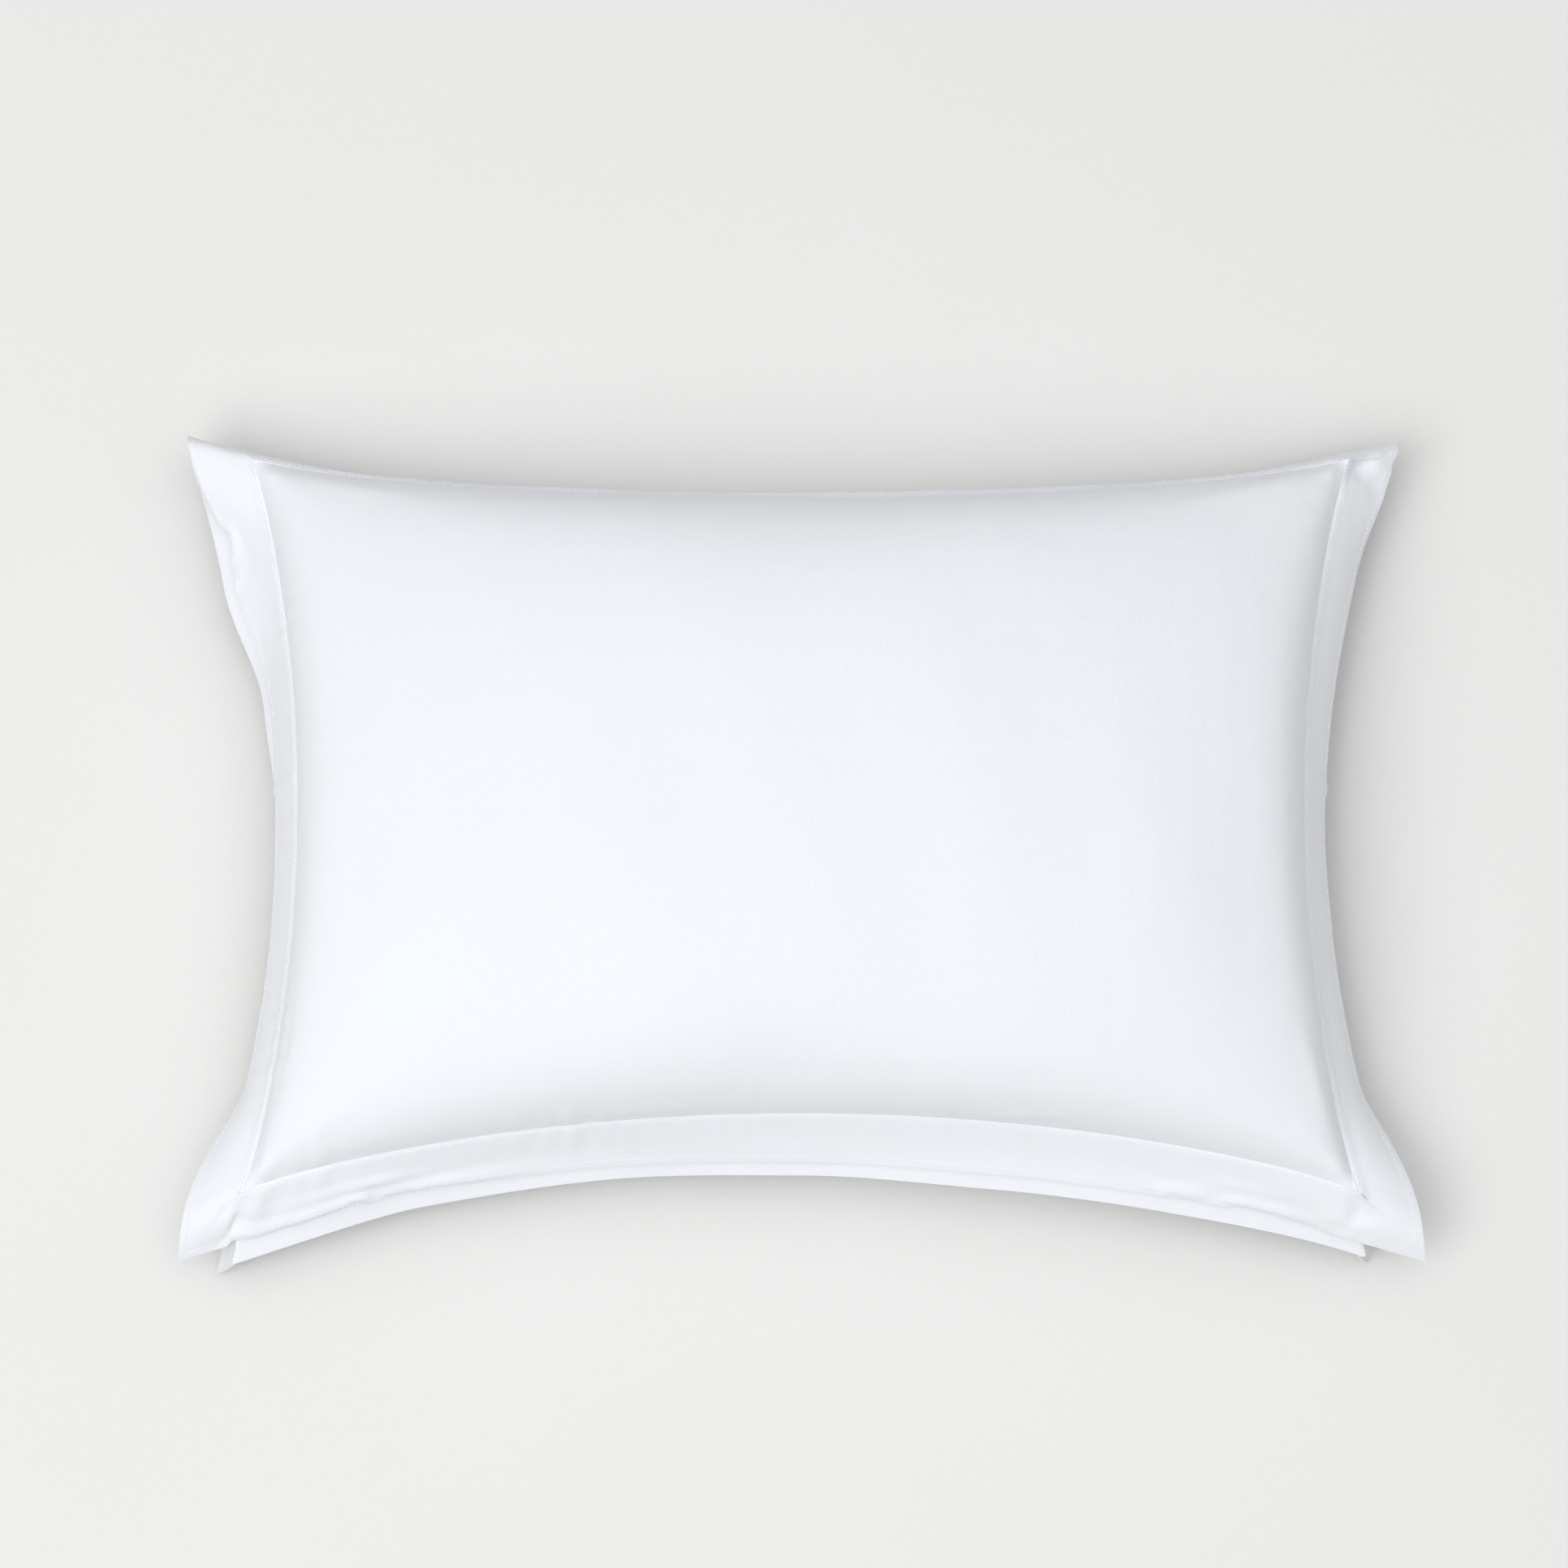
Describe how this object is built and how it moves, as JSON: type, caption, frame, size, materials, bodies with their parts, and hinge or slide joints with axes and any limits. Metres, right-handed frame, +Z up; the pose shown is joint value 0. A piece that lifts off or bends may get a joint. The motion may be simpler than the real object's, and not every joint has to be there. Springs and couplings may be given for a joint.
{
  "type": "bed pillow",
  "caption": "Plump rectangular bed pillow in a plain white cotton cover with a flat double flange around all four sides, lying on its envelope back.",
  "frame": {"origin": "on the surface that the pillow rests on, under the middle of its box", "axes": "+X along the pillow's length, +Y across its width, away from the side whose flange lies out flattest, +Z up through the crown"},
  "size_m": [0.8102, 0.5448, 0.1802],
  "materials": {
    "cover_cotton": "fine cotton sateen, smooth, with a faint sheen",
    "ticking_cotton": "tight plain-weave cotton ticking, matte",
    "fibre_filling": "loose matte fibre",
    "label_tape": "smooth woven tape, blank"
  },
  "bodies": {
    "root": {"front_panel": "cover_cotton", "back_panel_outer": "cover_cotton", "back_panel_inner": "cover_cotton", "front_flange_left": "cover_cotton", "front_flange_right": "cover_cotton", "front_flange_bottom": "cover_cotton", "front_flange_top": "cover_cotton", "back_flange_left": "cover_cotton", "back_flange_right": "cover_cotton", "back_flange_bottom": "cover_cotton", "back_flange_top": "cover_cotton", "ticking_upper": "ticking_cotton", "ticking_lower": "ticking_cotton", "ticking_piping": "ticking_cotton", "fill": "fibre_filling", "care_label": "label_tape", "insert_label": "label_tape"}
  },
  "joints": []
}
